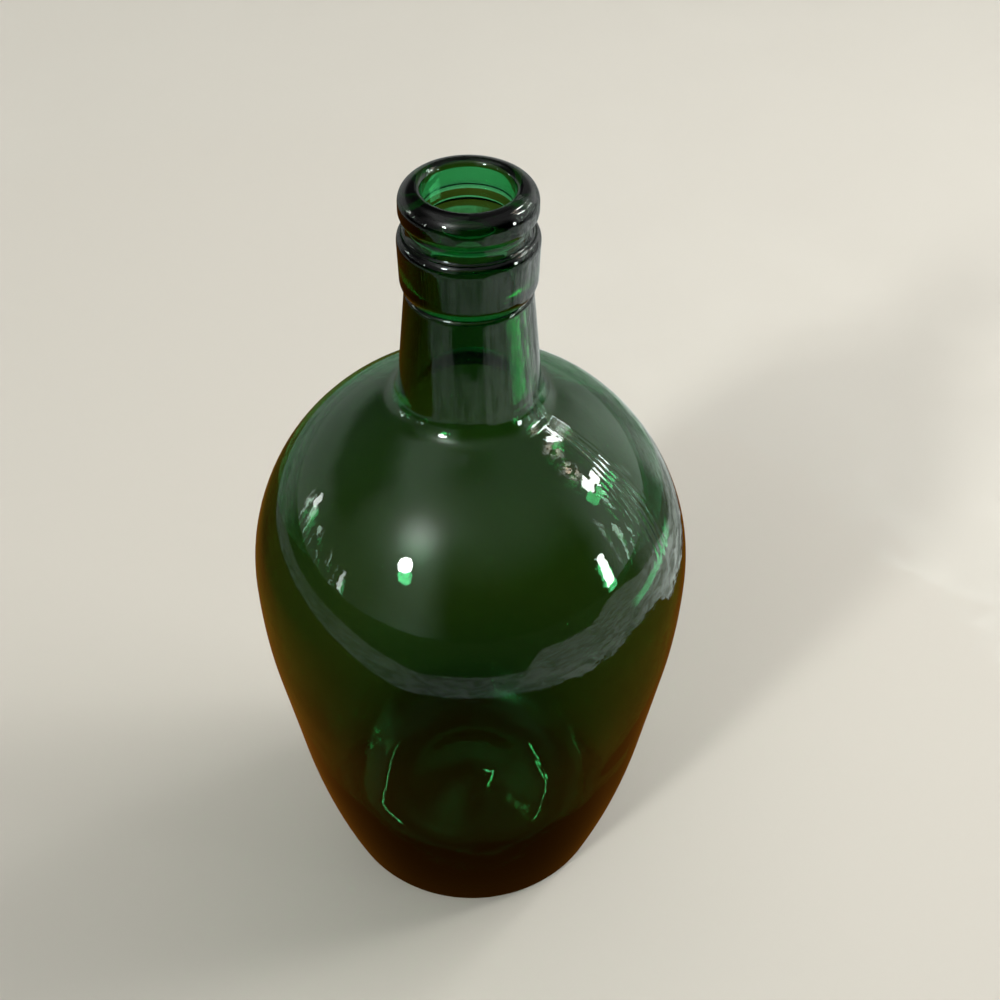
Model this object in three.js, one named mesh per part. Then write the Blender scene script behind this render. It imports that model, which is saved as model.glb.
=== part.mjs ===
// A green glass carboy of about five litres, as a bottle maker would draw it.
// The blown body has a pushed-up base, a tapering wall, a round shoulder and a short neck.
// The finish, which is the collar and the lip, is a second gather of hot glass laid round the neck.
// Millimetres, +Z up. The origin is the middle of the ring that the bottle stands on.
import * as THREE from 'three';

// Base and lower wall
const baseThickness = 6;
const pushUpHeight = 14;
const restRingWidth = 6;
const heelRadius = 9;
const lowerCurveRadius = 450;
const lowerCurveTop = 82;

// Belly and shoulder
const bellyDiameter = 187;
const bellyHeight = 175;
const bellyCurveRadius = 310;
const taperDegrees = 8.6;
const shoulderRise = 95.8;
const bodyWall = 3.5;

// Neck
const boreDiameter = 34;
const tubeWall = 3.5;
const neckLength = 46.6;
const neckFlareDegrees = 5.1;
const neckWall = 5;
const neckRootRadius = 11.3;
const neckSwell = 1.1;
const neckTopRise = 2.4;
const throatLength = 14;

// Finish laid round the neck
const layingClearance = 0.3;
const laidGlass = 2.9;
const creaseUndercut = 0.1;
const collarHeight = 24.3;
const collarProjection = 2.9;
const collarFaceDraw = 0.4;
const collarUpperRise = 4.1;
const collarLowerRise = 5.2;
const grooveHeight = 6;
const lipHeight = 12.3;
const lipProjection = 2.05;
const lipLowerRise = 3.1;
const lipCrownRise = 6.2;
const mouthRound = 2.6;
const lipCover = 8.6;

// Facets round the axis, and the straight steps that stand for each curve of the outline
const facets = 48;
const steps = {
  pushUp: 6, heel: 4, lowerWall: 5, belly: 3, shoulder: 12, neckRoot: 4, neckTop: 3,
  throat: 4, collarEdge: 4, lipEdge: 4, lipCrown: 6, mouth: 4,
};

// Levels and radii that follow from the sizes above
const bellyRadius = bellyDiameter / 2;
const taper = THREE.MathUtils.degToRad(taperDegrees);
const neckFlare = THREE.MathUtils.degToRad(neckFlareDegrees);
const boreRadius = boreDiameter / 2;
const tubeRadius = boreRadius + tubeWall;
const recessRadius = tubeRadius + layingClearance;
const grooveRadius = recessRadius + laidGlass;
const creaseRadius = grooveRadius - creaseUndercut;
const collarRadius = grooveRadius + collarProjection;
const lipRadius = grooveRadius + lipProjection;
const crownRadius = boreRadius + mouthRound;
const neckTopRadius = creaseRadius + neckSwell;

const crownOfShoulder = bellyHeight + shoulderRise;
const creaseLevel = crownOfShoulder + neckLength;
const neckTopLevel = creaseLevel - neckTopRise;
const collarTop = creaseLevel + collarHeight;
const lipBottom = collarTop + grooveHeight;
const overallHeight = lipBottom + lipHeight;
const tubeTop = overallHeight - lipCover;

const quarterTurn = Math.PI / 2;
const point = (radius, height) => new THREE.Vector2(radius, height);

// Points along part of an ellipse, from one angle to another, both ends included
function ellipseArc(centre, width, rise, from, to, count) {
  return Array.from({ length: count + 1 }, (_, i) => {
    const angle = from + ((to - from) * i) / count;
    return point(centre.x + width * Math.cos(angle), centre.y + rise * Math.sin(angle));
  });
}

const circleArc = (centre, radius, from, to, count) =>
  ellipseArc(centre, radius, radius, from, to, count);

// The underside of the base: a smooth bell that is level at the axis and at the rest ring
function pushUp(ringInnerRadius) {
  return Array.from({ length: steps.pushUp + 1 }, (_, i) => {
    const share = i / steps.pushUp;
    return point(ringInnerRadius * share, (pushUpHeight * (1 + Math.cos(Math.PI * share))) / 2);
  });
}

// The fillet at the root of the neck, which touches both the shoulder's ellipse and the straight neck
function neckRoot() {
  const neckNormal = point(Math.cos(neckFlare), Math.sin(neckFlare));
  const neckTop = point(neckTopRadius, neckTopLevel);
  const filletAt = (angle) => {
    const touch = point(bellyRadius * Math.cos(angle), bellyHeight + shoulderRise * Math.sin(angle));
    const outward = point(Math.cos(angle) / bellyRadius, Math.sin(angle) / shoulderRise).normalize();
    return { outward, centre: touch.addScaledVector(outward, neckRootRadius) };
  };
  const offNeck = (angle) => filletAt(angle).centre.sub(neckTop).dot(neckNormal) - neckRootRadius;
  let low = 0;
  let high = quarterTurn;
  const halvings = 60;
  for (let i = 0; i < halvings; i += 1) {
    const middle = (low + high) / 2;
    if (offNeck(middle) > 0) low = middle;
    else high = middle;
  }
  const fillet = filletAt(low);
  return {
    shoulderAngle: low,
    centre: fillet.centre,
    fromAngle: fillet.outward.angle() - Math.PI,
    toAngle: neckNormal.angle() - Math.PI,
  };
}

// The outside of the body from the axis under the base up to the crease below the collar
function bodyOutside() {
  const taperFoot = point(
    bellyRadius - bellyCurveRadius * (1 - Math.cos(taper))
      - (bellyHeight - bellyCurveRadius * Math.sin(taper) - lowerCurveTop) * Math.tan(taper),
    lowerCurveTop,
  );
  const lowerCentre = point(
    taperFoot.x - lowerCurveRadius * Math.cos(taper),
    taperFoot.y + lowerCurveRadius * Math.sin(taper),
  );
  const betweenCentres = lowerCurveRadius - heelRadius;
  const heelDrop = lowerCentre.y - heelRadius;
  const heelCentre = point(
    lowerCentre.x + Math.sqrt(betweenCentres ** 2 - heelDrop ** 2),
    heelRadius,
  );
  const heelAngle = -Math.asin(heelDrop / betweenCentres);
  const root = neckRoot();
  const bellyCentre = point(bellyRadius - bellyCurveRadius, bellyHeight);
  return {
    bottom: [
      ...pushUp(heelCentre.x - restRingWidth),
      ...circleArc(heelCentre, heelRadius, -quarterTurn, heelAngle, steps.heel),
    ],
    side: [
      ...circleArc(lowerCentre, lowerCurveRadius, heelAngle, -taper, steps.lowerWall).slice(1),
      ...circleArc(bellyCentre, bellyCurveRadius, -taper, 0, steps.belly),
      ...ellipseArc(
        point(0, bellyHeight), bellyRadius, shoulderRise, 0, root.shoulderAngle, steps.shoulder,
      ).slice(1),
      ...circleArc(
        root.centre, neckRootRadius, root.fromAngle, root.toAngle, steps.neckRoot,
      ).slice(1),
    ],
    neckTop: ellipseArc(
      point(creaseRadius, neckTopLevel), neckSwell, neckTopRise, 0, quarterTurn, steps.neckTop,
    ),
  };
}

// How thick the side is at a level: the base's thickness at the heel, then the wall, then the neck
function sideThickness(level) {
  const mix = THREE.MathUtils.lerp;
  const share = (from, to) => THREE.MathUtils.clamp((level - from) / (to - from), 0, 1);
  const lower = mix(baseThickness, bodyWall, share(heelRadius, lowerCurveTop));
  return mix(lower, neckWall, share(bellyHeight, neckTopLevel));
}

// Each point of an outline moved square to the outline, into the glass
function inside(outline, thicknessAt) {
  return outline.map((here, i) => {
    const before = outline[Math.max(i - 1, 0)];
    const after = outline[Math.min(i + 1, outline.length - 1)];
    const along = after.clone().sub(before).normalize();
    const shift = thicknessAt(here);
    const radius = i === 0 ? here.x : here.x - along.y * shift;
    return point(radius, i === 0 ? here.y + shift : here.y + along.x * shift);
  });
}

// The neck's bore below the tube, easing from the bore's radius out to the inside of the neck
function throat(neckInnerRadius) {
  return Array.from({ length: steps.throat + 1 }, (_, i) => {
    const share = i / steps.throat;
    const eased = THREE.MathUtils.smoothstep(share, 0, 1);
    return point(
      THREE.MathUtils.lerp(neckInnerRadius, boreRadius, eased),
      neckTopLevel - throatLength * (1 - share),
    );
  });
}

function bodyProfile() {
  const { bottom, side, neckTop } = bodyOutside();
  const shell = inside([...bottom, ...side], (p) =>
    (bottom.includes(p) ? baseThickness : sideThickness(p.y)));
  const throatFoot = neckTopLevel - throatLength;
  const neckAtThroat = neckTopRadius + throatLength * Math.tan(neckFlare) - neckWall / Math.cos(neckFlare);
  const belowThroat = shell.filter((p) => p.y < throatFoot);
  return [
    ...bottom,
    ...side,
    ...neckTop,
    point(tubeRadius, creaseLevel),
    point(tubeRadius, tubeTop),
    point(boreRadius, tubeTop),
    ...throat(neckAtThroat).reverse(),
    ...belowThroat.reverse(),
  ];
}

// The finish: it stands on the ledge at the crease, runs round the tube and closes over its top
function finishProfile() {
  const recessTop = tubeTop + layingClearance;
  const faceFoot = collarRadius - collarFaceDraw;
  const profile = [
    point(recessRadius, creaseLevel),
    ...ellipseArc(
      point(creaseRadius, creaseLevel + collarLowerRise), faceFoot - creaseRadius, collarLowerRise,
      -quarterTurn, 0, steps.collarEdge,
    ),
    ...ellipseArc(
      point(grooveRadius, collarTop - collarUpperRise), collarProjection, collarUpperRise,
      0, quarterTurn, steps.collarEdge,
    ),
    ...ellipseArc(
      point(grooveRadius, lipBottom + lipLowerRise), lipProjection, lipLowerRise,
      -quarterTurn, 0, steps.lipEdge,
    ),
    ...ellipseArc(
      point(crownRadius, overallHeight - lipCrownRise), lipRadius - crownRadius, lipCrownRise,
      0, quarterTurn, steps.lipCrown,
    ),
    ...circleArc(
      point(crownRadius, overallHeight - mouthRound), mouthRound,
      quarterTurn, Math.PI, steps.mouth,
    ).slice(1),
    point(boreRadius, recessTop),
    point(recessRadius, recessTop),
  ];
  return [...profile, profile[0]];
}

// Glass turned round the axis; the lathe turns about Y, so the piece is stood up along Z
function turnedGlass(name, profile) {
  const geometry = new THREE.LatheGeometry(profile, facets);
  geometry.rotateX(Math.PI / 2);
  const glass = new THREE.MeshStandardMaterial({
    color: 0x0f4a24,
    roughness: 0.05,
    metalness: 0,
    transparent: true,
    opacity: 0.6,
  });
  const mesh = new THREE.Mesh(geometry, glass);
  mesh.name = name;
  return mesh;
}

const carboy = new THREE.Group();
carboy.name = 'glass_carboy';
carboy.add(turnedGlass('blown_body', bodyProfile()));
carboy.add(turnedGlass('laid_on_finish', finishProfile()));

export default carboy;
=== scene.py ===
# %% [markdown]
# # A green glass carboy
#
# This notebook dresses a five-litre glass carboy: one shell of deep green glass, blown, drawn in to a
# short neck, and finished with a collar and a rolled lip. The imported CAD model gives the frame, in
# metres, with the floor at z = 0 and the bottle's axis on Z. Glass has no paint to hide behind, so the
# work goes into three things: the two faces of the wall, the colour inside it, and what it mirrors.
# The CAD model has the bottle and its finish as two solids. On the real bottle they are fused, and light
# passes from one to the other without a face between, so one shell stands for both here.

# %% Load the frame
import math

import bpy
from mathutils import Matrix, Vector


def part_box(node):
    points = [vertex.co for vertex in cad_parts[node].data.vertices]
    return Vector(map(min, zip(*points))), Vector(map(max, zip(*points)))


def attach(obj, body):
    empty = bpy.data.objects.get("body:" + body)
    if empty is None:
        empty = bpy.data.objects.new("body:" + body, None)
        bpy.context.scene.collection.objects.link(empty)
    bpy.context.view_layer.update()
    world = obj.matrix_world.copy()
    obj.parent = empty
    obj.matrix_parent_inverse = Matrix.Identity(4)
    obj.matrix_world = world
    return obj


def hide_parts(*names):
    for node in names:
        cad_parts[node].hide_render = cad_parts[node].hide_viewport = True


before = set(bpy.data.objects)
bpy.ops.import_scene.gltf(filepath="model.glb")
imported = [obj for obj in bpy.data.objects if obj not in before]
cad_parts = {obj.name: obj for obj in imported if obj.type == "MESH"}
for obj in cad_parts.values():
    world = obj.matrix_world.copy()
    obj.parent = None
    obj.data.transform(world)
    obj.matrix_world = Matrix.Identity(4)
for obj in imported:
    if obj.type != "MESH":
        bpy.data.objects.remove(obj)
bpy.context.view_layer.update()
_, body_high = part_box("blown_body")
finish_low, finish_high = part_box("laid_on_finish")

# %% [markdown]
# ## Sizes
#
# The outline is drawn as a glassmaker's template would be: a few radii and heights joined by arcs. It
# could be modelled by hand, but a bottle is judged by its curves, and arcs have no flat spots. What the
# frame knows is read from it, such as the height, the belly and the level of the crease where the
# collar was laid on. The rest are named sizes.

# %% Sizes of the outside
MM = 0.001
QUARTER = math.pi / 2

HEIGHT = finish_high.z
BELLY_RADIUS = body_high.x
CREASE_LEVEL = finish_low.z
COLLAR_RADIUS = finish_high.x

PUSH_UP_HEIGHT = 14 * MM
REST_RING_WIDTH = 6 * MM
HEEL_RADIUS = 9 * MM
LOWER_CURVE_RADIUS = 450 * MM
LOWER_CURVE_TOP = 82 * MM
TAPER = math.radians(8.6)

BELLY_LEVEL = 175 * MM
BELLY_CURVE_RADIUS = 310 * MM
SHOULDER_RISE = 95.8 * MM
NECK_ROOT_RADIUS = 11.3 * MM
NECK_FLARE = math.radians(5.1)
NECK_SWELL = 1.1 * MM
NECK_TOP_RISE = 2.4 * MM

CREASE_UNDERCUT = 0.1 * MM
CREASE_DEPTH = 0.5 * MM
COLLAR_PROJECTION = 2.9 * MM
COLLAR_FACE_DRAW = 0.4 * MM
COLLAR_UPPER_RISE = 4.1 * MM
COLLAR_LOWER_RISE = 5.2 * MM
COLLAR_HEIGHT = 24.3 * MM
GROOVE_HEIGHT = 6 * MM
GROOVE_DRAW = 0.9 * MM
COVE = 1.2 * MM
COVE_FOOT_ANGLE = -1.9
COVE_HEAD_ANGLE = -4.2
LIP_PROJECTION = 2.05 * MM
LIP_LOWER_RISE = 3.1 * MM
LIP_CROWN_RISE = 6.2 * MM
MOUTH_ROUND = 2.6 * MM
print("height and belly, mm", round(HEIGHT / MM, 1), round(2 * BELLY_RADIUS / MM, 1))

# %% Sizes of the inside, and what follows from them
BASE_THICKNESS = 6 * MM
WALL = 3.5 * MM
NECK_WALL = 7.2 * MM
NECK_THICKENS_FROM = 205 * MM
INNER_WALL_STOPS = 1 * MM
HEEL_FILL_FROM = 30 * MM
HEEL_FILL_TO = 38 * MM
HEEL_FILL_REACH = 0.46
BORE_RADIUS = 17 * MM
BORE_DRAW = 0.6 * MM
THROAT_RADIUS = 19.7 * MM
THROAT_FOOT = 343 * MM
THROAT_HEAD = 345.4 * MM

GROOVE_RADIUS = COLLAR_RADIUS - COLLAR_PROJECTION
LIP_RADIUS = GROOVE_RADIUS + LIP_PROJECTION
CREASE_RADIUS = GROOVE_RADIUS - CREASE_UNDERCUT
NECK_TOP_RADIUS = CREASE_RADIUS + NECK_SWELL
NECK_TOP_LEVEL = CREASE_LEVEL - NECK_TOP_RISE
COLLAR_TOP = CREASE_LEVEL + COLLAR_HEIGHT
LIP_BOTTOM = COLLAR_TOP + GROOVE_HEIGHT
CROWN_RADIUS = BORE_RADIUS + MOUTH_ROUND
print("bore and neck, mm", round(2 * BORE_RADIUS / MM, 1), round(2 * NECK_TOP_RADIUS / MM, 1))

# %% [markdown]
# ## The outline
#
# A stretch of the outline is an arc of an ellipse, or a straight line. Each one is cut into rows short
# enough for its own curve: a tight edge needs rows under a millimetre, a long wall only every three.

# %% Arcs and lines of the outline
# The longest row on each kind of stretch, and the number of rows where a stretch has a fixed one
ROW_MM = {
    "ring": 2, "heel": 1, "wall": 3, "shoulder": 2.4, "root": 0.9, "neck": 2.2, "crease": 0.4,
    "edge": 0.5, "face": 1.3, "cove": 0.35, "lip": 0.45, "crown": 0.6, "bore": 2, "throat": 2.4,
}
ROW = {name: length * MM for name, length in ROW_MM.items()}
PUSH_UP_ROWS = 22
THROAT_ROWS = 12
HEEL_FILL_ROWS = 24
HALVINGS = 50
SAME_POINT = 0.02 * MM


def ellipse_arc(centre, width, rise, start, end, spacing):
    """Points on part of an ellipse, about spacing apart, both ends included."""
    count = max(3, math.ceil(abs(end - start) * max(width, rise) / spacing))
    angles = [start + (end - start) * i / count for i in range(count + 1)]
    return [(centre[0] + width * math.cos(a), centre[1] + rise * math.sin(a)) for a in angles]


def circle_arc(centre, radius, start, end, spacing):
    """The same for a circle."""
    return ellipse_arc(centre, radius, radius, start, end, spacing)


def line(start, end, spacing):
    """Points on a straight stretch, about spacing apart, both ends included."""
    count = max(1, math.ceil(math.dist(start, end) / spacing))
    return [tuple(a + (b - a) * i / count for a, b in zip(start, end)) for i in range(count + 1)]


def joined(*stretches):
    """One outline from stretches that meet, with each meeting point kept once."""
    points = []
    for stretch in stretches:
        points += [p for p in stretch if not points or math.dist(p, points[-1]) > SAME_POINT]
    return points


print("points round the heel", len(circle_arc((0, 0), HEEL_RADIUS, -QUARTER, 0, ROW["heel"])))


# %% The underside, the heel and the wall
def push_up(ring_inner_radius):
    """The pushed-up base: a bell that is level at the axis and where it meets the rest ring."""
    shares = [i / PUSH_UP_ROWS for i in range(PUSH_UP_ROWS + 1)]
    return [(ring_inner_radius * s, PUSH_UP_HEIGHT * (1 + math.cos(math.pi * s)) / 2) for s in shares]


def wall_below_belly():
    """Rest ring, heel, the long curve above it, the straight taper and the turn into the belly."""
    foot = (
        BELLY_RADIUS
        - BELLY_CURVE_RADIUS * (1 - math.cos(TAPER))
        - (BELLY_LEVEL - BELLY_CURVE_RADIUS * math.sin(TAPER) - LOWER_CURVE_TOP) * math.tan(TAPER),
        LOWER_CURVE_TOP,
    )
    lower_centre = (
        foot[0] - LOWER_CURVE_RADIUS * math.cos(TAPER),
        foot[1] + LOWER_CURVE_RADIUS * math.sin(TAPER),
    )
    reach = LOWER_CURVE_RADIUS - HEEL_RADIUS
    drop = lower_centre[1] - HEEL_RADIUS
    heel_centre = (lower_centre[0] + math.sqrt(reach**2 - drop**2), HEEL_RADIUS)
    heel_angle = -math.asin(drop / reach)
    ring_inner_radius = heel_centre[0] - REST_RING_WIDTH
    bottom = joined(
        push_up(ring_inner_radius),
        line((ring_inner_radius, 0), (heel_centre[0], 0), ROW["ring"]),
        circle_arc(heel_centre, HEEL_RADIUS, -QUARTER, heel_angle, ROW["heel"]),
    )
    belly = circle_arc(
        (BELLY_RADIUS - BELLY_CURVE_RADIUS, BELLY_LEVEL), BELLY_CURVE_RADIUS, -TAPER, 0, ROW["wall"]
    )
    side = joined(
        circle_arc(lower_centre, LOWER_CURVE_RADIUS, heel_angle, -TAPER, ROW["wall"]),
        line(foot, belly[0], ROW["wall"]),
        belly,
    )
    return bottom, side


print("rows below the belly", sum(len(part) for part in wall_below_belly()))


# %% The shoulder and the neck
def root_circle(angle):
    """The circle of the neck's root that touches the shoulder's ellipse at this angle."""
    touch = Vector((BELLY_RADIUS * math.cos(angle), BELLY_LEVEL + SHOULDER_RISE * math.sin(angle)))
    outward = Vector((math.cos(angle) / BELLY_RADIUS, math.sin(angle) / SHOULDER_RISE)).normalized()
    return touch + outward * NECK_ROOT_RADIUS, math.atan2(outward.y, outward.x)


def shoulder_and_neck():
    """From the belly over the shoulder, round the root of the neck and up to the top of the neck."""
    neck_normal = Vector((math.cos(NECK_FLARE), math.sin(NECK_FLARE)))
    neck_top = Vector((NECK_TOP_RADIUS, NECK_TOP_LEVEL))
    low, high = 0.0, QUARTER
    for _ in range(HALVINGS):
        middle = (low + high) / 2
        off_neck = (root_circle(middle)[0] - neck_top).dot(neck_normal) - NECK_ROOT_RADIUS
        low, high = (middle, high) if off_neck > 0 else (low, middle)
    centre, outward_angle = root_circle(low)
    root = circle_arc(
        centre, NECK_ROOT_RADIUS, outward_angle - math.pi, NECK_FLARE - math.pi, ROW["root"]
    )
    return joined(
        ellipse_arc((0, BELLY_LEVEL), BELLY_RADIUS, SHOULDER_RISE, 0, low, ROW["shoulder"]),
        root,
        line(root[-1], tuple(neck_top), ROW["neck"]),
    )


print("rows over the shoulder and up the neck", len(shoulder_and_neck()))

# %% [markdown]
# ## The finish
#
# Collar and lip are one ring of hot glass, turned with a tool while the bottle spun. So every edge is
# rounded, the groove between them runs into both with a small cove, and a fine crease is left below
# the collar, where the ring was laid on the neck and never quite melted in. Bevels on straight corners
# would give round edges too, but all of one radius. Each edge gets its own arc here, because the
# highlights on a lip are drawn by exactly these curves.

# %% Crease, collar, groove, lip and mouth
def collar_outline():
    """From the top of the neck over the crease, the collar and its upper edge."""
    crease = CREASE_RADIUS - CREASE_DEPTH
    face_foot = (COLLAR_RADIUS - COLLAR_FACE_DRAW, CREASE_LEVEL + COLLAR_LOWER_RISE)
    face_head = (COLLAR_RADIUS, COLLAR_TOP - COLLAR_UPPER_RISE)
    return joined(
        ellipse_arc(
            (crease, NECK_TOP_LEVEL), NECK_TOP_RADIUS - crease, NECK_TOP_RISE,
            0, QUARTER, ROW["crease"],
        ),
        ellipse_arc(
            (crease, face_foot[1]), face_foot[0] - crease, COLLAR_LOWER_RISE,
            -QUARTER, 0, ROW["edge"],
        ),
        line(face_foot, face_head, ROW["face"]),
        ellipse_arc(
            (GROOVE_RADIUS + COVE / 2, face_head[1]), COLLAR_PROJECTION - COVE / 2,
            COLLAR_UPPER_RISE, 0, QUARTER, ROW["edge"],
        ),
    )


def lip_outline():
    """From the groove over the lip and into the mouth."""
    head = GROOVE_RADIUS - GROOVE_DRAW
    return joined(
        circle_arc(
            (GROOVE_RADIUS + COVE, COLLAR_TOP + COVE), COVE, COVE_FOOT_ANGLE, -math.pi, ROW["cove"]
        ),
        circle_arc((head + COVE, LIP_BOTTOM - COVE), COVE, -math.pi, COVE_HEAD_ANGLE, ROW["cove"]),
        ellipse_arc(
            (head + COVE / 2, LIP_BOTTOM + LIP_LOWER_RISE), LIP_RADIUS - head - COVE / 2,
            LIP_LOWER_RISE, -QUARTER, 0, ROW["lip"],
        ),
        ellipse_arc(
            (CROWN_RADIUS, HEIGHT - LIP_CROWN_RISE), LIP_RADIUS - CROWN_RADIUS, LIP_CROWN_RISE,
            0, QUARTER, ROW["crown"],
        ),
        circle_arc(
            (CROWN_RADIUS, HEIGHT - MOUTH_ROUND), MOUTH_ROUND, QUARTER, math.pi, ROW["lip"]
        ),
    )


finish_outline = joined(collar_outline(), lip_outline())
print("rows in the finish", len(finish_outline))

# %% [markdown]
# ## The inside of the wall
#
# Blown glass is thick where it cooled first, at the base and the neck, and thin at the belly where it
# was stretched. A Solidify modifier would give one thickness all over, and the green would be as deep
# at the belly as at the base. So the inner face is drawn too: the outer one moved square to itself by a
# thickness that depends on the level. Two places have a shape of their own. Inside the heel the glass
# gathers and fills the corner in one sweep, and behind the lip the bore ends and the neck opens out.

# %% How thick the wall is
def eased(share):
    """Smooth from 0 to 1."""
    share = min(max(share, 0.0), 1.0)
    return share * share * (3 - 2 * share)


def side_thickness(level):
    """Thickness of the side at a level above the floor."""
    lower = BASE_THICKNESS + (WALL - BASE_THICKNESS) * eased((level - HEEL_RADIUS) / LOWER_CURVE_TOP)
    upper = (level - NECK_THICKENS_FROM) / (NECK_TOP_LEVEL - NECK_THICKENS_FROM)
    return lower + (NECK_WALL - WALL) * eased(upper)


def moved_inside(outline, thickness_at):
    """Each point of an outline moved square to it, into the glass."""
    moved = []
    for i, here in enumerate(outline):
        before = Vector(outline[max(i - 1, 0)])
        along = (Vector(outline[min(i + 1, len(outline) - 1)]) - before).normalized()
        shift = thickness_at(here[1])
        moved.append((max(here[0] - along.y * shift, 0.0), here[1] + along.x * shift))
    return moved


print("wall at the belly, mm", round(side_thickness(BELLY_LEVEL) / MM, 2))


# %% The throat, the heel and the whole section
def throat_outline():
    """From the mouth down the bore, out behind the lip, and down inside the collar to the neck."""
    bore_foot = BORE_RADIUS - BORE_DRAW
    step = THROAT_RADIUS - bore_foot
    drop = THROAT_HEAD - THROAT_FOOT
    ease = [
        (bore_foot + step * eased(i / THROAT_ROWS), THROAT_HEAD - drop * i / THROAT_ROWS)
        for i in range(THROAT_ROWS + 1)
    ]
    neck_inside = (NECK_TOP_RADIUS - NECK_WALL / math.cos(NECK_FLARE), NECK_TOP_LEVEL)
    return joined(
        line((BORE_RADIUS, HEIGHT - MOUTH_ROUND), ease[0], ROW["bore"]),
        ease,
        line(ease[-1], neck_inside, ROW["throat"]),
    )


def heel_fill(flank, wall):
    """The sweep inside the heel, where glass gathers, from the flank of the push-up to the wall."""
    start, end = Vector(flank[-1]), Vector(wall[0])
    reach = (end - start).length * HEEL_FILL_REACH
    start_pull = start + (start - Vector(flank[-2])).normalized() * reach
    end_pull = end + (end - Vector(wall[1])).normalized() * reach
    corners = (start, start_pull, end_pull, end)
    sweep = []
    for i in range(HEEL_FILL_ROWS + 1):
        t = i / HEEL_FILL_ROWS
        weights = ((1 - t) ** 3, 3 * t * (1 - t) ** 2, 3 * t**2 * (1 - t), t**3)
        sweep.append(tuple(sum((c * w for c, w in zip(corners, weights)), Vector((0, 0)))))
    return sweep


def shell_outline():
    """The whole section of the glass, from the axis under the base to the axis inside it."""
    bottom, side = wall_below_belly()
    upper = shoulder_and_neck()
    inner_bottom = moved_inside(bottom, lambda level: BASE_THICKNESS)
    inner_bottom[0] = (0.0, bottom[0][1] + BASE_THICKNESS)
    inner_side = moved_inside(joined(side, upper), side_thickness)
    flank = [p for p in inner_bottom if p[0] < HEEL_FILL_FROM]
    wall = [p for p in inner_side if HEEL_FILL_TO < p[1] < NECK_TOP_LEVEL - INNER_WALL_STOPS]
    inside = joined(throat_outline(), wall[::-1], heel_fill(flank, wall)[::-1], flank[::-1])
    return joined(bottom, side, upper, finish_outline, inside)


section = shell_outline()
print("rows in the section", len(section))
print("inside of the base, mm", [(round(r / MM, 1), round(z / MM, 1)) for r, z in section[-40::4]])

# %% [markdown]
# ## Sums in node trees
#
# Both the geometry tree and the material need arithmetic. Math nodes could be added and linked one by
# one, at four lines a sum. Wrapping a socket in a small class lets the sums be written as sums: each
# operator adds its Math node and hands back the node's output. The steps on vectors, the noise and the
# blending of colours, which come back all the time, are methods of the same class.

# %% One function that adds any node
def add_node(tree, kind, settings=None, values=(), out=0):
    """Adds a node, sets it up, feeds its sockets by values or wires, and returns one output."""
    node = tree.nodes.new(kind)
    for name, value in (settings or {}).items():
        setattr(node, name, value)
    pairs = values.items() if isinstance(values, dict) else enumerate(values)
    for key, value in pairs:
        if isinstance(value, Wire):
            tree.links.new(value.socket, node.inputs[key])
        else:
            node.inputs[key].default_value = value
    return Wire(tree, node.outputs[out]) if len(node.outputs) else node


# %% A socket that can be used in a sum
class Wire:
    """A socket of a node tree, for use in Python expressions."""

    def __init__(self, tree, socket):
        self.tree = tree
        self.socket = socket

    def maths(self, operation, *values):
        return add_node(self.tree, "ShaderNodeMath", {"operation": operation}, values)

    def __add__(self, other):
        return self.maths("ADD", self, other)

    __radd__ = __add__

    def __sub__(self, other):
        return self.maths("SUBTRACT", self, other)

    def __rsub__(self, other):
        return self.maths("SUBTRACT", other, self)

    def __mul__(self, other):
        return self.maths("MULTIPLY", self, other)

    __rmul__ = __mul__

    def __truediv__(self, other):
        return self.maths("DIVIDE", self, other)

    def __pow__(self, other):
        return self.maths("POWER", self, other)

    def __abs__(self):
        return self.maths("ABSOLUTE", self)

    def smooth(self, low, high):
        """0 below low, 1 above high, smooth between."""
        settings = {"interpolation_type": "SMOOTHSTEP"}
        values = {0: self, 1: low, 2: high, 3: 0, 4: 1}
        return add_node(self.tree, "ShaderNodeMapRange", settings, values)

    def vector(self, operation, *others, out="Vector"):
        """One step of vector maths."""
        values = (self, *others)
        return add_node(self.tree, "ShaderNodeVectorMath", {"operation": operation}, values, out)

    def parts(self):
        """The three parts of a vector."""
        node = add_node(self.tree, "ShaderNodeSeparateXYZ", {}, [self]).socket.node
        return [Wire(self.tree, node.outputs[name]) for name in "XYZ"]

    def noise(self, scale, detail, roughness=0.5, distortion=0.0):
        """Noise from 0 to 1 at a place."""
        values = {
            "Vector": self, "Scale": scale, "Detail": detail,
            "Roughness": roughness, "Distortion": distortion,
        }
        return add_node(self.tree, "ShaderNodeTexNoise", {"noise_dimensions": "3D"}, values)

    def blend(self, first, second):
        """A colour between two, where this wire says how far."""
        values = {"Factor": self, "A": first, "B": second}
        return add_node(self.tree, "ShaderNodeMix", {"data_type": "RGBA"}, values, out="Result")

    def times(self, vector):
        """A constant vector or colour, scaled by this wire."""
        values = {0: vector, "Scale": self}
        return add_node(self.tree, "ShaderNodeVectorMath", {"operation": "SCALE"}, values)


def combined(tree, *parts):
    """A vector from its three parts."""
    return add_node(tree, "ShaderNodeCombineXYZ", {}, parts)


# %% Directions
DEGREES = 180 / math.pi


def toward(azimuth, elevation):
    """A unit vector. Azimuth 0 is the camera's side and 90 the right, in degrees."""
    a, e = math.radians(azimuth), math.radians(elevation)
    return Vector((math.sin(a) * math.cos(e), -math.cos(a) * math.cos(e), math.sin(e)))


def azimuth_of(x, y):
    """The azimuth of a place or a direction, in degrees."""
    return x.maths("ARCTAN2", x, y * -1) * DEGREES


print("toward the right and up", [round(part, 3) for part in toward(90, 45)])


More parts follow.
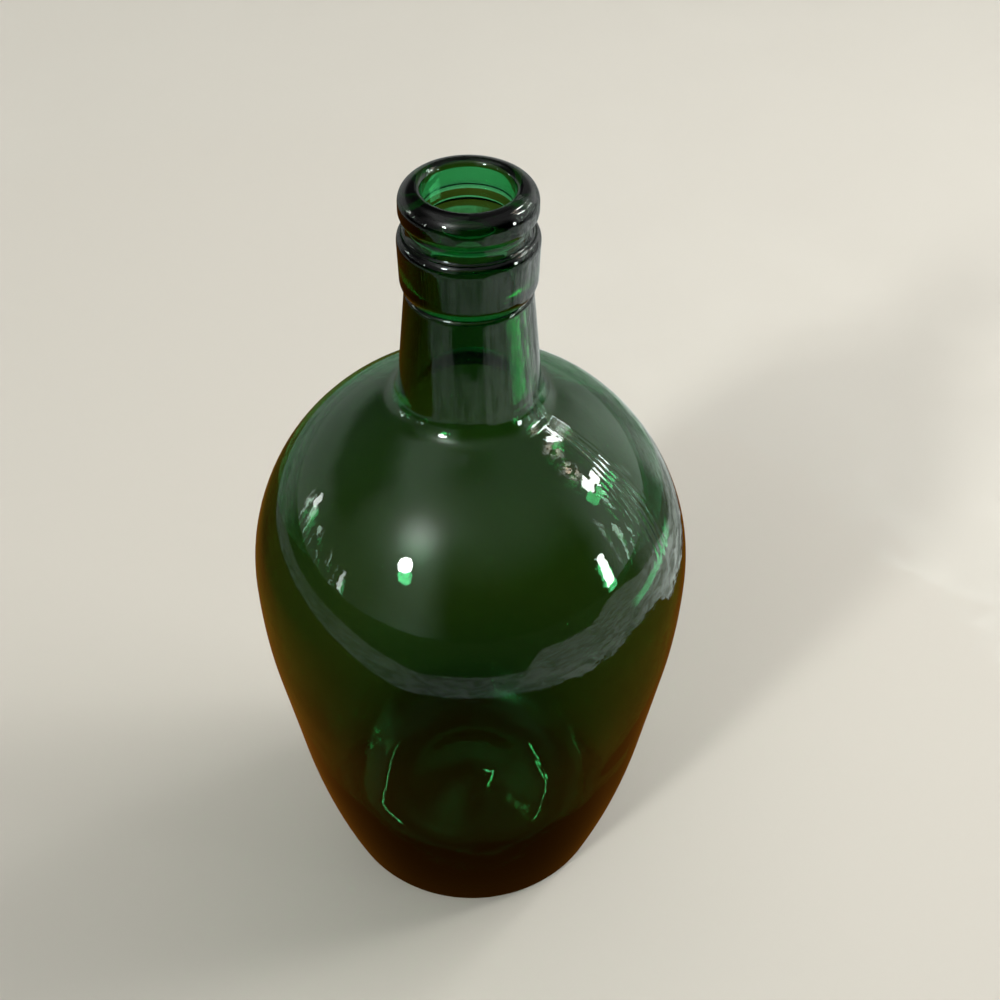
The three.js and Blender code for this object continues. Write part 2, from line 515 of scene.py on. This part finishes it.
# %% [markdown]
# ## The material
#
# The green is iron and chrome in the melt. It could be painted on the surface as a tint, which costs
# less to render, but then thick and thin places look alike. So it lives in the volume: light loses red
# quickly, blue less quickly and green slowly. The surface only bends and mirrors. It carries faint
# smears that dull the shine here and there, a fine ripple from the mould, and lines that were drawn
# down as the neck was pulled out: fine ones round the neck, and one bundle of cords over the shoulder.
# All of these are finer than a millimetre, so they are roughness and bump rather than mesh.

# %% Lines drawn into the glass
CORDS_SIDE = 154
CORDS_FREQUENCY = 140
CORDS_WAVER = 8
CORDS_STRENGTH = 2.4
NECK_LINES = 2.6
OTHER_LINES = 0.1


def drawn_lines(tree, place):
    """Lines that run down from the neck: fine ones round the neck, and a bundle of strong cords."""
    x, y, level = place.parts()
    outward = combined(tree, x, y, 0.0).vector("NORMALIZE")
    along = combined(tree, 0.0, 0.0, level * 1.2)
    fine = outward.vector("ADD", along).noise(30.0, 2.0) - 0.5
    neck = level.smooth(240 * MM, 285 * MM) * (1 - level.smooth(333 * MM, 338 * MM))

    across = outward.vector("DOT_PRODUCT", toward(CORDS_SIDE, 0), out="Value")
    waver = place.noise(22.0, 1.0) - 0.5
    cord = across * CORDS_FREQUENCY + waver * CORDS_WAVER
    cord = cord.maths("SINE", cord)
    bundle = 1 - abs(across).smooth(0.04, 0.13)
    bundle = bundle * level.smooth(205 * MM, 222 * MM) * x.smooth(0, 10 * MM)
    return fine * (neck * NECK_LINES + OTHER_LINES) + cord * bundle * CORDS_STRENGTH


# %% Green glass
GLASS_INDEX = 1.52
GREEN = (0.32, 0.77, 0.54, 1.0)
GREEN_DENSITY = 500.0
TINTS = (0.86, 0.98, 0.88, 1.0), (0.95, 1.0, 0.95, 1.0)
POLISHED = 0.003
SMEARED = 0.03
RIPPLE_HEIGHT = 0.03
LINES_HEIGHT = 0.02


def empty_material(name):
    """A material whose node tree is still empty."""
    material = bpy.data.materials.new(name)
    material.use_nodes = True
    material.node_tree.nodes.clear()
    return material


def green_glass():
    """Deep green bottle glass with a handled surface."""
    material = empty_material("green_glass")
    tree = material.node_tree
    place = add_node(tree, "ShaderNodeTexCoord", out="Object")
    smears = place.noise(26.0, 6.0, 0.62, 0.7).smooth(0.6, 0.8)
    ripple = place.noise(95.0, 2.0)
    height = RIPPLE_HEIGHT * ripple + LINES_HEIGHT * drawn_lines(tree, place)
    bump = add_node(
        tree, "ShaderNodeBump", {}, {"Strength": 1.0, "Distance": MM, "Height": height}
    )
    surface = add_node(
        tree, "ShaderNodeBsdfPrincipled", {},
        {
            "Base Color": place.noise(14.0, 3.0, distortion=1.5).blend(*TINTS),
            "Roughness": POLISHED + SMEARED * smears, "Normal": bump,
            "Transmission Weight": 1.0, "IOR": GLASS_INDEX,
        },
    )
    volume = add_node(
        tree, "ShaderNodeVolumeAbsorption", {}, {"Color": GREEN, "Density": GREEN_DENSITY}
    )
    add_node(tree, "ShaderNodeOutputMaterial", {}, {"Surface": surface, "Volume": volume})
    return material


glass = green_glass()
print("nodes in the glass", len(glass.node_tree.nodes))

# %% [markdown]
# ## Turning the shell
#
# A bottle is a section turned about its axis. A Screw modifier would do that, but here a geometry tree
# does it, because the same tree can then work on the turned faces: a flat grid gets one column for each
# step round the axis and one row for each point of the section, and every grid point is sent to its
# row's radius and height. Welding closes the seam and the two ends on the axis.

# %% Turn the section
def turned_section(tree, given):
    """A grid bent round the axis, so that each of its rows takes the place of a point of the section."""
    grid = add_node(
        tree, "GeometryNodeMeshGrid", {},
        {"Size X": 1.0, "Size Y": 1.0, "Vertices X": given["Columns"] + 1, "Vertices Y": given["Rows"]},
    )
    here = add_node(tree, "GeometryNodeInputPosition")
    across, along, _ = here.parts()
    turn = (across + 0.5) * math.tau
    row = (along + 0.5) * (given["Rows"] - 1)
    point = add_node(
        tree, "GeometryNodeSampleIndex", {"data_type": "FLOAT_VECTOR", "domain": "POINT"},
        {"Geometry": given["Section"], "Value": here, "Index": row.maths("ROUND", row)},
    )
    radius, _, level = point.parts()
    placed = combined(
        tree, radius * turn.maths("COSINE", turn), radius * turn.maths("SINE", turn), level
    )
    turned = add_node(tree, "GeometryNodeSetPosition", {}, {"Geometry": grid, "Position": placed})
    return add_node(
        tree, "GeometryNodeMergeByDistance", {}, {"Geometry": turned, "Distance": 0.01 * MM}
    )


# %% [markdown]
# ## Glass that someone blew
#
# What makes it blown glass is a second step, where both faces wander a little, each in its own way. The
# shoulder carries the start of the drawn lines, and the finish fine rings from turning. One noise over
# the whole shell would be simpler, but both faces would then move together and the glass would stay as
# thick as before. The wander fades out near the floor, so that the rest ring stays flat.

# %% Let the faces wander
def wander_of(tree, given, normal):
    """How far each point of the turned faces moves along its normal."""
    place = add_node(tree, "GeometryNodeInputPosition")
    x, y, z = place.parts()
    outward = combined(tree, x, y, 0.0).vector("NORMALIZE")
    inner = 1 - outward.vector("DOT_PRODUCT", normal, out="Value").smooth(-0.35, 0.35)

    def noise(vector, scale, detail, shift):
        return add_node(
            tree, "ShaderNodeTexNoise", {"noise_dimensions": "4D"},
            {"Vector": vector, "W": given["Seed"] + shift, "Scale": scale, "Detail": detail},
        ) - 0.5

    outer_noise = noise(place, given["Wander size"], 1.0, 0.0)
    inner_noise = noise(place, given["Wander size"] * 0.8, 2.0, 7.3)
    wander = outer_noise * given["Outer wander"] * (1 - inner)
    wander = wander + inner_noise * given["Inner wander"] * inner

    outward_x, outward_y, _ = outward.parts()
    drawn_noise = noise(combined(tree, outward_x, outward_y, z * 3.0), 10.0, 1.0, 3.1)
    on_shoulder = z.smooth(200 * MM, 262 * MM) * (1 - z.smooth(272 * MM, 300 * MM))
    lines = drawn_noise * given["Drawn lines"] * on_shoulder

    turning_noise = noise(combined(tree, x * 6.0, y * 6.0, z * 420.0), 1.0, 2.0, 5.7)
    turning = turning_noise * given["Turning lines"] * z.smooth(290 * MM, 312 * MM)
    return (wander + lines + turning) * z.smooth(1 * MM, 16 * MM)


# %% The turning tree
SHELL_INPUTS = {
    "Section": "Geometry", "Columns": "Int", "Rows": "Int", "Outer wander": "Float",
    "Inner wander": "Float", "Wander size": "Float", "Drawn lines": "Float",
    "Turning lines": "Float", "Seed": "Float", "Glass": "Material",
}


def turning_tree():
    """Turns the section about Z and lets the faces wander, with its sizes as named inputs."""
    tree = bpy.data.node_groups.new("turned glass", "GeometryNodeTree")
    for name, kind in SHELL_INPUTS.items():
        tree.interface.new_socket(name=name, in_out="INPUT", socket_type="NodeSocket" + kind)
    tree.interface.new_socket(name="Shell", in_out="OUTPUT", socket_type="NodeSocketGeometry")
    source = tree.nodes.new("NodeGroupInput")
    given = {name: Wire(tree, source.outputs[name]) for name in SHELL_INPUTS}

    welded = turned_section(tree, given)
    normal = add_node(tree, "GeometryNodeInputNormal")
    away = wander_of(tree, given, normal)
    offset = add_node(
        tree, "ShaderNodeVectorMath", {"operation": "SCALE"}, {0: normal, "Scale": away}
    )
    wandered = add_node(tree, "GeometryNodeSetPosition", {}, {"Geometry": welded, "Offset": offset})
    smooth = add_node(tree, "GeometryNodeSetShadeSmooth", {}, {"Geometry": wandered})
    real = add_node(tree, "GeometryNodeRealizeInstances", {}, {"Geometry": smooth})
    add_node(tree, "NodeGroupOutput", {}, {
        "Shell": add_node(
            tree, "GeometryNodeSetMaterial", {}, {"Geometry": real, "Material": given["Glass"]}
        ),
    })
    return tree


turning_group = turning_tree()
print("nodes in the turning tree", len(turning_group.nodes))


# %% Turn it and keep the plain mesh
def set_inputs(modifier, tree, values):
    """Sets a modifier's inputs by name, through their identifiers."""
    names = {item.name: item.identifier for item in tree.interface.items_tree if item.in_out == "INPUT"}
    for name, value in values.items():
        modifier[names[name]] = value


def turned_shell(points):
    """The carboy's glass as one closed mesh."""
    mesh = bpy.data.meshes.new("section")
    edges = [(i, i + 1) for i in range(len(points) - 1)]
    mesh.from_pydata([(radius, 0.0, level) for radius, level in points], edges, [])
    template = bpy.data.objects.new("section", mesh)
    bpy.context.scene.collection.objects.link(template)
    modifier = template.modifiers.new("turn", "NODES")
    modifier.node_group = turning_group
    set_inputs(modifier, turning_group, {
        "Columns": 192, "Rows": len(points), "Outer wander": 0.5 * MM, "Inner wander": 1.4 * MM,
        "Wander size": 17.0, "Drawn lines": 0.04 * MM, "Turning lines": 0.03 * MM,
        "Seed": 4.0, "Glass": glass,
    })
    evaluated = template.evaluated_get(bpy.context.evaluated_depsgraph_get())
    shell_mesh = bpy.data.meshes.new_from_object(evaluated)
    bpy.data.objects.remove(template)
    shell_mesh.name = "glass_shell"
    shell = bpy.data.objects.new("glass_shell", shell_mesh)
    bpy.context.scene.collection.objects.link(shell)
    return shell


def signed_litres(mesh):
    """Volume inside a closed mesh, in litres: negative where its faces point inwards."""
    mesh.calc_loop_triangles()
    corners = [v.co for v in mesh.vertices]
    total = sum(
        corners[a].dot(corners[b].cross(corners[c])) for a, b, c in
        (t.vertices for t in mesh.loop_triangles)
    )
    return total / 6 * 1000


shell = turned_shell(section)
if signed_litres(shell.data) < 0:
    shell.data.flip_normals()
print("glass in the shell, litres", round(signed_litres(shell.data), 3))
print("triangles", len(shell.data.loop_triangles))

# %% It rides on the body and stands for both solids
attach(shell, "root")
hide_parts("blown_body", "laid_on_finish")
print("the shell stands for the blown body and the finish laid on it")

# %% [markdown]
# ## The floor
#
# The bottle stands on a plain pale floor. It could be a box, or a sheet bent up into a wall, but the
# camera looks down and never meets its far edge, so one large flat sheet is enough. Two more sheets
# will lie within a hair of it, and one helper makes them all. Cycles lets each kind of ray see other
# things: this sheet is for the camera and for scattered light.

# %% The floor
SHEET_HALF = 10.0
FLOOR_LEVEL = -0.2 * MM
PALE_FLOOR = (0.62, 0.58, 0.52)


def level_sheet(name, level, half, material, hidden_from):
    """A square sheet at a level, hidden from some kinds of rays."""
    mesh = bpy.data.meshes.new(name)
    corners = [(x * half, y * half, level) for x, y in ((-1, -1), (1, -1), (1, 1), (-1, 1))]
    mesh.from_pydata(corners, [], [(0, 1, 2, 3)])
    mesh.materials.append(material)
    sheet = bpy.data.objects.new(name, mesh)
    bpy.context.scene.collection.objects.link(sheet)
    for rays in hidden_from:
        setattr(sheet, "visible_" + rays, False)
    return sheet


def plain_surface(name, colour):
    """A matt surface of one colour, for the stage."""
    material = bpy.data.materials.new(name)
    material.use_nodes = True
    principled = material.node_tree.nodes["Principled BSDF"]
    principled.inputs["Base Color"].default_value = (*colour, 1.0)
    principled.inputs["Roughness"].default_value = 0.8
    return material


floor = level_sheet(
    "floor", FLOOR_LEVEL, SHEET_HALF, plain_surface("pale_floor", PALE_FLOOR),
    hidden_from=("glossy", "transmission"),
)
print("level of the floor sheet, mm", round(floor.data.vertices[0].co.z / MM, 2))

# %% [markdown]
# ## The floor through the glass
#
# Dark green glass looks thin over a pale floor and nearly black over a brown one. The floor itself could
# be brown, but it is to stay plain and pale, so the light that comes up through the glass gets a floor
# of its own: brown, in painted shade near the bottle and darker painted shade at the left, and pale far
# behind. A glowing patch of painted light at the right is what the inner face of the neck turns into an
# upright green streak. It is kept small, because the belly shows it too, as a green band. Only rays that
# have come through glass see this sheet.

# %% What shows through the glass
# The brown near the bottle is a darker copy of the far brown: painted shade. The left is painted shade
# too.
PAINTED_SHADE_BROWN = (0.21, 0.058, 0.005, 1.0)
FAR_BROWN = (0.27, 0.078, 0.008, 1.0)
PALE_BEHIND = (0.55, 0.56, 0.49, 1.0)
BLACK = (0.0, 0.0, 0.0, 1.0)
LEFT_PAINTED_SHADE = 0.65
NECK_LIGHT = 6.5
NECK_LIGHT_COLOUR = (0.95, 1.0, 0.96)


def light_for_the_neck(azimuth, radius):
    """1 on the glowing patch of painted light that the neck's inner face mirrors, and 0 round it."""
    side = azimuth.smooth(76, 85) * (1 - azimuth.smooth(112, 124))
    reach = radius + 0.03 * azimuth.smooth(110, 115)
    return side * reach.smooth(0.575, 0.595) * (1 - radius.smooth(0.72, 0.80))


def floor_through_glass():
    """A brown sheet in painted shade near the bottle and at the left, pale far behind, with a glowing
    patch of painted light, which only rays that have come through the glass can see.
    """
    material = plain_surface("floor_through_glass", (1.0, 1.0, 1.0))
    tree = material.node_tree
    place = add_node(tree, "ShaderNodeTexCoord", out="Object")
    across, back, _ = place.parts()
    azimuth = azimuth_of(across, back)
    radius = place.vector("LENGTH", out="Value")
    # Painted shade: the left side of the sheet is blended towards black.
    left = azimuth.smooth(-140, -124) * (1 - azimuth.smooth(-76, -58)) * radius.smooth(0.25, 0.30)
    colour = radius.smooth(0.08, 0.20).blend(PAINTED_SHADE_BROWN, FAR_BROWN)
    colour = (LEFT_PAINTED_SHADE * left).blend(colour, BLACK)
    colour = back.smooth(0.52, 0.54).blend(colour, PALE_BEHIND)
    # Painted light: the sheet glows on the patch for the neck, though it is no lamp.
    shine = (NECK_LIGHT * light_for_the_neck(azimuth, radius)).times(NECK_LIGHT_COLOUR)
    principled = tree.nodes["Principled BSDF"]
    tree.links.new(colour.socket, principled.inputs["Base Color"])
    tree.links.new(shine.socket, principled.inputs["Emission Color"])
    principled.inputs["Emission Strength"].default_value = 1.0
    return material


brown_sheet = level_sheet(
    "floor_through_glass", FLOOR_LEVEL / 2, SHEET_HALF, floor_through_glass(),
    hidden_from=("camera", "glossy", "diffuse", "shadow"),
)
print("nodes in the brown sheet", len(brown_sheet.data.materials[0].node_tree.nodes))

# %% [markdown]
# ## The room
#
# A shiny bottle shows the room more than itself. The room could be built of walls and lamps. Here it is
# painted into the world as a sum of soft steps and small rectangles, by azimuth and elevation, because
# then every light is a named direction that can be moved alone. First comes the room itself: dim in
# front and at the far left, brighter to the right, with a wide glow at the front left. The directions
# waver a little, so that no edge in the glass is ruled straight.

# %% The room without its lights
GLOW_AT = toward(-39, 44)


def dim_room(azimuth, elevation, front):
    """How bright the room is in each direction, without its lights."""
    left = 0.40 - 0.26 * azimuth.smooth(-116, -84) + 0.26 * azimuth.smooth(-58, -30)
    right = 0.76 * azimuth.smooth(66, 90) + 0.25 * azimuth.smooth(112, 126)
    right = right - 0.50 * azimuth.smooth(134, 156)
    low = left * (1 - azimuth.smooth(-20, 60)) + right + 0.02
    low = low * (1 - 0.98 * front)
    high = 0.27 + 0.36 * (1 - azimuth.smooth(-95, -20)) * elevation.smooth(50, 62)
    high = high * (1 - 0.4 * elevation.smooth(72, 84))
    room = low + (high - low) * elevation.smooth(20, 54)
    left_dark = elevation.smooth(16, 26) * (1 - elevation.smooth(44, 58))
    left_dark = left_dark * (1 - azimuth.smooth(-92, -76))
    behind = abs(azimuth).smooth(130, 155) * elevation.smooth(12, 24)
    return room * (1 - 0.75 * left_dark) * (1 - 0.6 * behind)


def front_left_glow(direction, elevation, front):
    """A wide glow with a brighter middle."""
    lean = direction.vector("DOT_PRODUCT", GLOW_AT, out="Value")
    lean = lean.maths("MAXIMUM", lean, 0.0)
    glow = 3.3 * lean**80 + 0.75 * lean**16
    return glow * (1 - 0.8 * front * (1 - elevation.smooth(36, 56)))


print("toward the glow", [round(part, 3) for part in GLOW_AT])

# %% [markdown]
# ## The lights of the room
#
# The highlights are panes of light at both sides, a round lamp at the front left, and patches that
# noise breaks up, warm ones and faintly green ones. Real lamps could stand in their places, but each
# would light the floor too. The round lamp is left out of scattered light, where it would throw a hard
# shadow. The base needs a light of its own. Rays that have passed through glass more than three times,
# as those through the base have, would turn the panes and the lamp into stray sparks. So such rays see
# one slim, leaning light and a short one in their place, and the base makes an upright streak of them.

# %% Panes, lamp and patches
# Each pane of light: azimuth and elevation of its middle, its half sizes, and its radiance
LIGHT_PANES = (
    ((122, 45), (1.6, 3.6), 26),
    ((127, 43), (2.2, 3.0), 26),
    ((98, 32), (3.6, 3.2), 24),
    ((104, 28), (3.2, 2.8), 24),
    ((73, 4), (2.4, 9), 28),
    ((-105, 11), (1.4, 3), 10),
    ((-69, 4), (1.2, 4.5), 8),
)
ROUND_LAMP_AT = toward(-40, 29)
ROUND_LAMP_SIZE = 3.6
ROUND_LAMP_LIGHT = 110
WARM_PATCHES = (((113, 48), (5, 3)), ((101, 41), (4, 4)))
WARM_LIGHT = 11
SPECKLED_PATCHES = (((100, 10), (17, 15)), ((-92, 2), (18, 8)))
SPECKLED_LIGHT = 5.5
BASE_LIGHT = 40
BASE_LIGHT_LEAN = 0.62
BASE_LIGHT_LEVEL = 46
PASSES_BEFORE_THE_BASE = 3.0


def pane(azimuth, elevation, centre, half, soft=0.3):
    """1 inside a rectangle of directions and 0 outside it, all in degrees."""
    across = abs(azimuth - centre[0])
    up = abs(elevation - centre[1])
    inside = 1 - across.smooth(half[0] - soft, half[0] + soft)
    return inside * (1 - up.smooth(half[1] - soft, half[1] + soft))


def round_lamp(tree, direction, fine):
    """A round lamp with an uneven edge, which scattered light doesn't see."""
    off = direction.vector("DISTANCE", ROUND_LAMP_AT, out="Value") * DEGREES
    matt = add_node(tree, "ShaderNodeLightPath", out="Is Diffuse Ray")
    disc = 1 - (off + 3 * fine).smooth(ROUND_LAMP_SIZE - 0.5, ROUND_LAMP_SIZE + 0.5)
    return ROUND_LAMP_LIGHT * (1 - matt) * disc


def base_streak(azimuth, elevation):
    """The leaning light and the short one that the base makes into a streak."""
    leaning = azimuth + BASE_LIGHT_LEAN * (elevation - BASE_LIGHT_LEVEL)
    slim = pane(leaning, elevation, (146.4, 47), (1.0, 12.5))
    return slim + pane(azimuth, elevation, (160, 40), (5, 1.3))


def warm_patches(tree, azimuth, elevation):
    """Two warm patches, broken up evenly."""
    warm = sum(pane(azimuth, elevation, centre, half, 3) for centre, half in WARM_PATCHES)
    return warm * combined(tree, azimuth * 0.34, elevation * 0.34, 4.0).noise(
        1.0, 3.0, 0.6, 0.5
    ).smooth(0.44, 0.56)


def speckled_patches(tree, azimuth, elevation):
    """Two patches broken up into upright spots."""
    speckled = sum(pane(azimuth, elevation, centre, half, 2) for centre, half in SPECKLED_PATCHES)
    return speckled * combined(tree, azimuth * 0.30, elevation * 0.06, 0.0).noise(
        1.0, 3.0, 0.55, 0.4
    ).smooth(0.55, 0.62)


print("panes of light", len(LIGHT_PANES))

# %% The painted world
ROOM_COLOUR = (0.97, 1.0, 0.97, 1.0)
WARM_COLOUR = (1.0, 0.66, 0.47, 1.0)
SPECKLED_COLOUR = (0.72, 1.0, 0.78, 1.0)
PLAIN_COLOUR = (1.0, 0.97, 0.93, 1.0)
PLAIN_LIGHT = 0.45


def mirrored_room(tree):
    """The colour and strength of all that the glass mirrors above the floor."""
    direction = add_node(tree, "ShaderNodeTexCoord", out="Generated")
    x, y, z = direction.parts()
    azimuth = azimuth_of(x, y)
    elevation = z.maths("ARCSINE", z) * DEGREES
    uneven = direction.noise(3.2, 5.0, 0.6) - 0.5
    fine = direction.noise(26.0, 3.0, 0.6) - 0.5
    room_azimuth = azimuth + 14 * uneven
    room_elevation = elevation + 12 * uneven
    pane_azimuth = azimuth + 5 * fine
    pane_elevation = elevation - 5 * fine

    front = room_azimuth.smooth(-30, -10) * (1 - room_azimuth.smooth(56, 76))
    room = dim_room(room_azimuth, room_elevation, front)
    room = room + front_left_glow(direction, room_elevation, front)
    light = round_lamp(tree, direction, fine) + sum(
        radiance * pane(pane_azimuth, pane_elevation, centre, half)
        for centre, half, radiance in LIGHT_PANES
    )
    passes = add_node(tree, "ShaderNodeLightPath", out="Transmission Depth")
    by_the_base = passes.maths("GREATER_THAN", passes, PASSES_BEFORE_THE_BASE)
    streak = BASE_LIGHT * base_streak(azimuth, elevation)
    light = light * (1 - by_the_base) + streak * by_the_base
    warm = warm_patches(tree, pane_azimuth, pane_elevation)
    speckled = speckled_patches(tree, pane_azimuth, pane_elevation)
    colour = speckled.blend(warm.blend(ROOM_COLOUR, WARM_COLOUR), SPECKLED_COLOUR)
    return colour, room + light + WARM_LIGHT * warm + SPECKLED_LIGHT * speckled


def painted_world():
    """The world: plain for the camera, and the painted room for everything the glass mirrors."""
    world = bpy.data.worlds.new("studio")
    bpy.context.scene.world = world
    world.use_nodes = True
    tree = world.node_tree
    tree.nodes.clear()
    colour, strength = mirrored_room(tree)
    mirrored = add_node(
        tree, "ShaderNodeBackground", {}, {"Color": colour, "Strength": strength}
    )
    plain = add_node(
        tree, "ShaderNodeBackground", {}, {"Color": PLAIN_COLOUR, "Strength": PLAIN_LIGHT}
    )
    for_camera = add_node(tree, "ShaderNodeLightPath", out="Is Camera Ray")
    mixed = add_node(
        tree, "ShaderNodeMixShader", {}, {0: for_camera, 1: mirrored, 2: plain}
    )
    add_node(tree, "ShaderNodeOutputWorld", {}, {"Surface": mixed})
    return tree


print("nodes in the painted world", len(painted_world().nodes))

# %% [markdown]
# ## The floor in the reflections
#
# Below the belly the wall leans inwards, so it mirrors the floor all round. That reflection is painted:
# a brown floor in painted shade close by, pale further out, and the pale part shows on the glass as a
# curved band from side to side, with a brushed, ragged edge at the right. A pale mat on a real floor
# would do the same, but it would show and cast light. A glowing sheet that only mirror rays see does
# neither.

# %% Where the pale part lies, and how it glows
def band_edges(azimuth):
    """How far from the bottle the pale part begins and ends, in metres."""
    begins = 0.366 + 0.36 * (1 - azimuth.smooth(-100, -24)) + 0.05 * azimuth.smooth(62, 76)
    begins = begins - 0.10 * azimuth.smooth(91, 106)
    ends = 0.59 + 0.60 * (1 - azimuth.smooth(-84, -18)) + 0.48 * azimuth.smooth(22, 33)
    ends = ends + 0.8 * azimuth.smooth(56, 70) * (1 - azimuth.smooth(72, 90))
    return begins, ends - 0.50 * azimuth.smooth(86, 126)


def band_light(azimuth):
    """How brightly the pale part glows, and what lies beyond it."""
    band = 0.34 + 0.28 * azimuth.smooth(12, 44) - 0.12 * (1 - azimuth.smooth(-72, -52))
    band = band + 0.6 * azimuth.smooth(78, 108) * (1 - azimuth.smooth(112, 130))
    far = 0.02 + 0.44 * azimuth.smooth(84, 100) - 0.28 * azimuth.smooth(106, 114)
    far = far + 0.48 * azimuth.smooth(123, 133) - 0.30 * azimuth.smooth(137, 147)
    return band, far + 0.32 * (1 - azimuth.smooth(-124, -104))


def shade_near(azimuth, radius):
    """How brightly the painted shade of the brown floor close to the bottle glows."""
    near = 0.32 + 0.78 * abs(azimuth).smooth(25, 120)
    near = near - 0.2 * azimuth.smooth(70, 90) * (1 - radius.smooth(0.16, 0.24))
    return near * (1 - 0.55 * (1 - azimuth.smooth(-84, -52)) * radius.smooth(0.30, 0.42))


# %% The painted reflection of the floor on the belly
MIRRORED_HALF = 6.0
BAND_COLOUR = (0.94, 1.0, 0.96)
SHADE_COLOUR = (0.17, 0.060, 0.006)


def painted_floor_reflection():
    """A glowing sheet that only reflections see, a painted reflection of the floor: painted shade near
    the bottle, pale further out.
    """
    material = empty_material("painted_floor_reflection")
    tree = material.node_tree
    place = add_node(tree, "ShaderNodeTexCoord", out="Object")
    x, y, _ = place.parts()
    azimuth = azimuth_of(x, y)
    brushed = place.noise(13.0, 8.0, 0.7, 0.6) - 0.5
    fibres = place.noise(14.0, 9.0, 0.72, 1.2).smooth(0.38, 0.62)
    torn = place.noise(48.0, 4.0, 0.6) - 0.5
    ragged = azimuth.smooth(16, 40)
    radius = (x * x + y * y) ** 0.5 * (1 + (0.12 + 0.3 * ragged) * brushed + 0.3 * ragged * torn)

    begins, ends = band_edges(azimuth)
    beyond = (radius / ends).smooth(0.97, 1.03)
    pale = (radius / begins).smooth(0.97, 1.03) * (1 - beyond)
    band, far = band_light(azimuth)
    brightness = (band * pale + far * beyond) * (0.5 + 1.0 * fibres)
    # Painted reflection: painted shade near the bottle, a glowing pale band, and what lies beyond it.
    shade = shade_near(azimuth, radius).times(SHADE_COLOUR)
    colour = (pale + beyond).blend(shade, brightness.times(BAND_COLOUR))
    glow = add_node(tree, "ShaderNodeEmission", {}, {"Color": colour})
    add_node(tree, "ShaderNodeOutputMaterial", {}, {"Surface": glow})
    return material


glowing_sheet = level_sheet(
    "painted_floor_reflection", 0.0, MIRRORED_HALF, painted_floor_reflection(),
    hidden_from=("camera", "diffuse", "transmission", "shadow"),
)
print("nodes in the glowing sheet", len(glowing_sheet.data.materials[0].node_tree.nodes))

# %% [markdown]
# ## The lamps
#
# Two large panels light the floor and soften the bottle's shadow, one at the right and one above and
# behind. They could give the highlights as well, but a panel seen in glass is a hard rectangle, and its
# light bent through the base makes stray spots. So mirror rays and rays through the glass miss them,
# and the painted room gives the highlights.

# %% The lamps
PANEL_DISTANCE = 1.5
PANELS_FACE = Vector((0.0, 0.0, 0.22))


def soft_panel(name, azimuth, elevation, width, height, radiance):
    """A panel that faces the bottle, with its width and height in degrees as the bottle sees it."""
    data = bpy.data.lights.new(name, "AREA")
    data.shape = "RECTANGLE"
    data.size = PANEL_DISTANCE * math.radians(width)
    data.size_y = PANEL_DISTANCE * math.radians(height)
    data.energy = radiance * math.pi * data.size * data.size_y
    panel = bpy.data.objects.new(name, data)
    bpy.context.scene.collection.objects.link(panel)
    panel.location = PANELS_FACE + toward(azimuth, elevation) * PANEL_DISTANCE
    panel.rotation_mode = "QUATERNION"
    panel.rotation_quaternion = toward(azimuth, elevation).to_track_quat("Z", "Y")
    panel.visible_camera = False
    panel.visible_glossy = False
    panel.visible_transmission = False
    return panel


soft_panel("side_panel", 105, 34, 34, 24, 5.5)
soft_panel("top_panel", 170, 68, 60, 45, 0.9)
print("lamps", [light.name for light in bpy.data.lights])
bpy.context.scene.view_settings.view_transform = "Standard"

# %% [markdown]
# ## Camera
#
# The camera looks down on the bottle from arm's length, with a lens of about twice a phone's normal one.
# A camera can be placed by eye until things seem to fit. This one was worked out from the rings of the
# lip, the collar and the base, which are circles in level planes: how round each one looks tells how
# steeply it is seen.

# %% The photograph's view
CAMERA_BACK = 0.4686
CAMERA_UP = 0.6384
PITCH = math.radians(42.58)
YAW = math.radians(1.515)
ROLL = math.radians(0.562)
LENS = 54.0
SENSOR = 36.0

camera_data = bpy.data.cameras.new("photo_view")
camera_data.lens = LENS
camera_data.sensor_width = SENSOR
camera = bpy.data.objects.new("photo_view", camera_data)
bpy.context.scene.collection.objects.link(camera)
camera.matrix_world = (
    Matrix.Translation((0.0, -CAMERA_BACK, CAMERA_UP))
    @ Matrix.Rotation(-YAW, 4, "Z")
    @ Matrix.Rotation(QUARTER - PITCH, 4, "X")
    @ Matrix.Rotation(ROLL, 4, "Z")
)
bpy.context.scene.camera = camera
print("camera, metres", [round(part, 3) for part in camera.matrix_world.translation])
